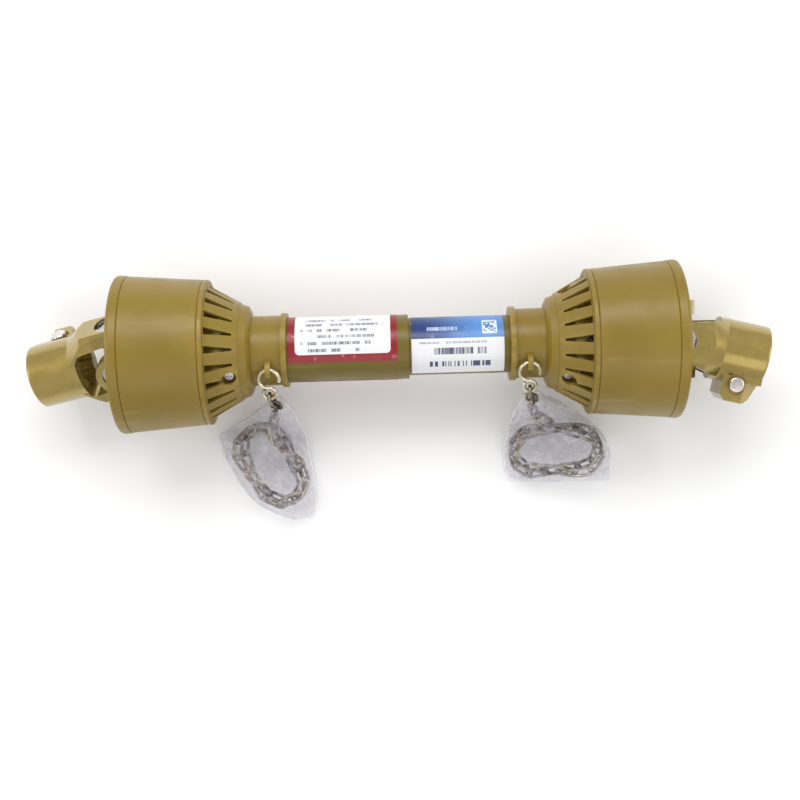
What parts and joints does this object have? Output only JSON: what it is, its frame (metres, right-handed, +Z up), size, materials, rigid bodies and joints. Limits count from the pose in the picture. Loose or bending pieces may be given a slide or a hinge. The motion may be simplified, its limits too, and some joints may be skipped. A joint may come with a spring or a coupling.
{
  "type": "drive shaft with guard",
  "caption": "Telescoping farm drive shaft with two universal joints, splined end yokes, a plastic guard with bells and bagged safety chains.",
  "frame": {"origin": "middle of the part's base, on the ground between the two bells", "axes": "+X along the shaft from the tractor end to the implement end, +Z up, bagged chains on the -Y side"},
  "size_m": [0.5852, 0.202, 0.125],
  "materials": {
    "guard_plastic": "satin moulded",
    "bearing_nylon": "smooth",
    "zinc_steel": "zinc plated",
    "border_label": "printed film",
    "band_label": "printed film",
    "yoke_paint": "glossy yellow passivated",
    "tube_steel": "drawn, oiled",
    "bare_steel": "ground",
    "spring_steel": "blued",
    "seal_rubber": "matt",
    "bag_film": "clear film"
  },
  "bodies": {
    "tractor_guard": {"tractor_guard_bell": "guard_plastic", "tractor_guard_cone": "guard_plastic", "tractor_guard_bearing": "bearing_nylon", "tractor_guard_screws": "zinc_steel", "wide_guard_tube": "guard_plastic", "border_label": "border_label"},
    "tractor_shaft": {"tractor_tube_yoke": "yoke_paint", "outer_drive_tube": "tube_steel", "tractor_roll_pin": "bare_steel", "tractor_tube_yoke_bearing_caps": "bare_steel", "tractor_tube_yoke_circlips": "spring_steel"},
    "tractor_cross": {"tractor_cross": "bare_steel", "tractor_grease_nipple": "zinc_steel", "tractor_needle_rollers": "bare_steel", "tractor_trunnion_seals": "seal_rubber"},
    "tractor_yoke": {"tractor_end_yoke": "yoke_paint", "tractor_end_yoke_bearing_caps": "bare_steel", "tractor_end_yoke_circlips": "spring_steel", "tractor_pin_spring": "spring_steel"},
    "tractor_pin": {"tractor_push_pin": "zinc_steel"},
    "tractor_chain": {"tractor_chain_hook": "zinc_steel", "tractor_safety_chain": "zinc_steel", "tractor_chain_bag": "bag_film"},
    "implement_guard": {"implement_guard_bell": "guard_plastic", "implement_guard_cone": "guard_plastic", "implement_guard_bearing": "bearing_nylon", "implement_guard_screws": "zinc_steel", "slim_guard_tube": "guard_plastic", "band_label": "band_label"},
    "implement_shaft": {"implement_tube_yoke": "yoke_paint", "inner_drive_tube": "tube_steel", "implement_roll_pin": "bare_steel", "implement_tube_yoke_bearing_caps": "bare_steel", "implement_tube_yoke_circlips": "spring_steel"},
    "implement_cross": {"implement_cross": "bare_steel", "implement_grease_nipple": "zinc_steel", "implement_needle_rollers": "bare_steel", "implement_trunnion_seals": "seal_rubber"},
    "implement_yoke": {"implement_end_yoke": "yoke_paint", "implement_end_yoke_bearing_caps": "bare_steel", "implement_end_yoke_circlips": "spring_steel", "implement_pin_spring": "spring_steel"},
    "implement_pin": {"implement_push_pin": "zinc_steel"},
    "implement_chain": {"implement_chain_hook": "zinc_steel", "implement_safety_chain": "zinc_steel", "implement_chain_bag": "bag_film"}
  },
  "joints": [
    {"name": "tractor_guard_spin", "type": "hinge", "parent": "tractor_guard", "child": "tractor_shaft", "pos_m": [0.00004, 0.03853, 0.0625], "axis": [1, 0, 0], "continuous": true},
    {"name": "telescope", "type": "slide", "parent": "tractor_shaft", "child": "implement_shaft", "axis": [1, 0, 0], "range_m": [-0.078, 0.022]},
    {"name": "implement_guard_spin", "type": "hinge", "parent": "implement_shaft", "child": "implement_guard", "pos_m": [0.00004, 0.03853, 0.0625], "axis": [1, 0, 0], "continuous": true},
    {"name": "tractor_cross_hinge", "type": "hinge", "parent": "tractor_shaft", "child": "tractor_cross", "pos_m": [-0.21796, 0.03853, 0.0625], "axis": [0, -0.5736, 0.8192], "range_deg": [-45, 15]},
    {"name": "tractor_yoke_hinge", "type": "hinge", "parent": "tractor_cross", "child": "tractor_yoke", "pos_m": [-0.21796, 0.03853, 0.0625], "axis": [-0.2588, 0.7912, 0.554], "range_deg": [-30, 30]},
    {"name": "tractor_pin_press", "type": "slide", "parent": "tractor_yoke", "child": "tractor_pin", "axis": [0.2588, -0.7912, -0.554], "range_m": [0, 0.005], "stiffness_N_per_m": 2500, "springref_m": -0.006, "deforming": ["tractor_pin_spring"]},
    {"name": "tractor_chain_swing", "type": "hinge", "parent": "tractor_guard", "child": "tractor_chain", "pos_m": [-0.10096, 0.02253, 0.09021], "axis": [1, 0, 0], "range_deg": [-75, 0]},
    {"name": "implement_cross_hinge", "type": "hinge", "parent": "implement_shaft", "child": "implement_cross", "pos_m": [0.21804, 0.03853, 0.0625], "axis": [0, 0.9962, 0.0872], "range_deg": [-30, 30]},
    {"name": "implement_yoke_hinge", "type": "hinge", "parent": "implement_cross", "child": "implement_yoke", "pos_m": [0.21804, 0.03853, 0.0625], "axis": [0, -0.0872, 0.9962], "range_deg": [-16, 44]},
    {"name": "implement_pin_press", "type": "slide", "parent": "implement_yoke", "child": "implement_pin", "axis": [0, 0.0872, -0.9962], "range_m": [0, 0.005], "stiffness_N_per_m": 2500, "springref_m": -0.006, "deforming": ["implement_pin_spring"]},
    {"name": "implement_chain_swing", "type": "hinge", "parent": "implement_guard", "child": "implement_chain", "pos_m": [0.10104, 0.02253, 0.09021], "axis": [1, 0, 0], "range_deg": [-75, 0]}
  ]
}
